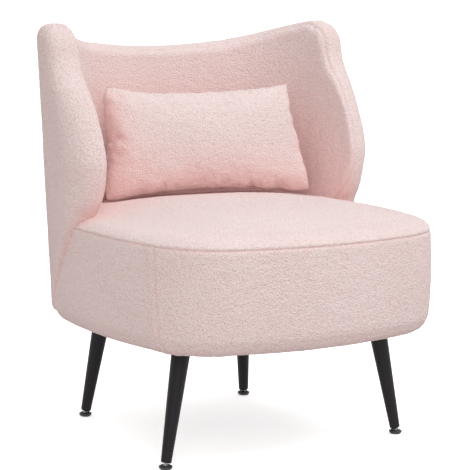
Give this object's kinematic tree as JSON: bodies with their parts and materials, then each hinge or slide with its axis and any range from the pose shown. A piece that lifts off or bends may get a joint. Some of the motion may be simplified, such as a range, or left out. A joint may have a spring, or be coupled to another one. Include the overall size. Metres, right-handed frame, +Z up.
{
  "type": "upholstered armchair",
  "caption": "Low armchair with a rounded box seat, a wrap-around winged back in curly pile fabric, splayed tapered metal legs with screw glides and a loose lumbar pillow.",
  "frame": {"origin": "on the floor, under the middle of the chair's outline", "axes": "+Z up; the chair faces -Y; +X is to the right of a person looking along +Y at its front"},
  "size_m": [0.7108, 0.6985, 0.8008],
  "materials": {
    "back_outer_cover": "curly pile",
    "back_inner_cover": "curly pile",
    "seat_cover": "curly pile",
    "pillow_cover": "curly pile",
    "foam": "open-cell foam",
    "wadding": "fibre wadding",
    "seat_spring_insulator": "needled felt",
    "seat_dust_cover": "non-woven",
    "hardboard": "smooth hardboard",
    "plywood": "birch plywood",
    "softwood": "planed pine",
    "clip_plastic": "moulded",
    "spring_steel": "drawn wire",
    "glide_plastic": "moulded",
    "leg_paint": "satin powder coat",
    "zinc_steel": "zinc plated"
  },
  "bodies": {
    "chair": {"back_bolts": "zinc_steel", "back_bottom_rail": "plywood", "back_inner_cover": "back_inner_cover", "back_inner_foam": "foam", "back_inner_panel": "hardboard", "back_left_post": "softwood", "back_left_wing_rib": "plywood", "back_middle_rail": "plywood", "back_outer_cover": "back_outer_cover", "back_outer_wadding": "wadding", "back_right_post": "softwood", "back_right_wing_rib": "plywood", "back_t_nuts": "zinc_steel", "back_top_rail": "plywood", "front_left_leg": "leg_paint", "front_left_leg_insert": "zinc_steel", "front_left_leg_plate": "leg_paint", "front_right_leg": "leg_paint", "front_right_leg_insert": "zinc_steel", "front_right_leg_plate": "leg_paint", "leg_plate_screws": "zinc_steel", "leg_top_studs": "zinc_steel", "rear_left_leg": "leg_paint", "rear_left_leg_insert": "zinc_steel", "rear_left_leg_plate": "leg_paint", "rear_right_leg": "leg_paint", "rear_right_leg_insert": "zinc_steel", "rear_right_leg_plate": "leg_paint", "seat_base_board": "plywood", "seat_border_wadding": "wadding", "seat_cover_front_band": "seat_cover", "seat_cover_left_band": "seat_cover", "seat_cover_right_band": "seat_cover", "seat_cover_top": "seat_cover", "seat_dust_cover": "seat_dust_cover", "seat_foam": "foam", "seat_front_left_post": "softwood", "seat_front_right_post": "softwood", "seat_rear_left_post": "softwood", "seat_rear_rail": "softwood", "seat_rear_right_post": "softwood", "seat_spring_clips": "clip_plastic", "seat_spring_inner_left": "spring_steel", "seat_spring_inner_right": "spring_steel", "seat_spring_insulator": "seat_spring_insulator", "seat_spring_outer_left": "spring_steel", "seat_spring_outer_right": "spring_steel", "seat_top_ring": "plywood", "seat_wall_board": "hardboard"},
    "front_left_glide_base": {"front_left_glide_base": "glide_plastic"},
    "front_left_glide_stud": {"front_left_glide_stud": "zinc_steel"},
    "front_right_glide_base": {"front_right_glide_base": "glide_plastic"},
    "front_right_glide_stud": {"front_right_glide_stud": "zinc_steel"},
    "rear_left_glide_base": {"rear_left_glide_base": "glide_plastic"},
    "rear_left_glide_stud": {"rear_left_glide_stud": "zinc_steel"},
    "rear_right_glide_base": {"rear_right_glide_base": "glide_plastic"},
    "rear_right_glide_stud": {"rear_right_glide_stud": "zinc_steel"},
    "pillow": {"pillow_cover": "pillow_cover", "pillow_filling": "wadding"}
  },
  "joints": [
    {"name": "front_left_glide_travel", "type": "slide", "parent": "chair", "child": "front_left_glide_base", "axis": [-0.1913, -0.0783, -0.9784], "range_m": [0, 0.01]},
    {"name": "front_left_glide_spin", "type": "hinge", "parent": "front_left_glide_base", "child": "front_left_glide_stud", "pos_m": [-0.268, -0.196, 0.0064], "axis": [-0.1913, -0.0783, -0.9784], "range_deg": [0, 2881]},
    {"name": "front_right_glide_travel", "type": "slide", "parent": "chair", "child": "front_right_glide_base", "axis": [0.1913, -0.0783, -0.9784], "range_m": [0, 0.01]},
    {"name": "front_right_glide_spin", "type": "hinge", "parent": "front_right_glide_base", "child": "front_right_glide_stud", "pos_m": [0.268, -0.196, 0.0064], "axis": [0.1913, -0.0783, -0.9784], "range_deg": [0, 2881]},
    {"name": "rear_left_glide_travel", "type": "slide", "parent": "chair", "child": "rear_left_glide_base", "axis": [-0.1183, 0.1183, -0.9859], "range_m": [0, 0.01]},
    {"name": "rear_left_glide_spin", "type": "hinge", "parent": "rear_left_glide_base", "child": "rear_left_glide_stud", "pos_m": [-0.194, 0.233, 0.0064], "axis": [-0.1183, 0.1183, -0.9859], "range_deg": [0, 2881]},
    {"name": "rear_right_glide_travel", "type": "slide", "parent": "chair", "child": "rear_right_glide_base", "axis": [0.1183, 0.1183, -0.9859], "range_m": [0, 0.01]},
    {"name": "rear_right_glide_spin", "type": "hinge", "parent": "rear_right_glide_base", "child": "rear_right_glide_stud", "pos_m": [0.194, 0.233, 0.0064], "axis": [0.1183, 0.1183, -0.9859], "range_deg": [0, 2881]},
    {"name": "pillow_lift", "type": "slide", "parent": "chair", "child": "pillow", "axis": [0, 0, 1], "range_m": [0, 0.4]}
  ],
  "couplings": [
    {"joint": "front_left_glide_spin", "follows": "front_left_glide_travel", "rad_per_m": 5026.5},
    {"joint": "front_right_glide_spin", "follows": "front_right_glide_travel", "rad_per_m": 5026.5},
    {"joint": "rear_left_glide_spin", "follows": "rear_left_glide_travel", "rad_per_m": 5026.5},
    {"joint": "rear_right_glide_spin", "follows": "rear_right_glide_travel", "rad_per_m": 5026.5}
  ]
}
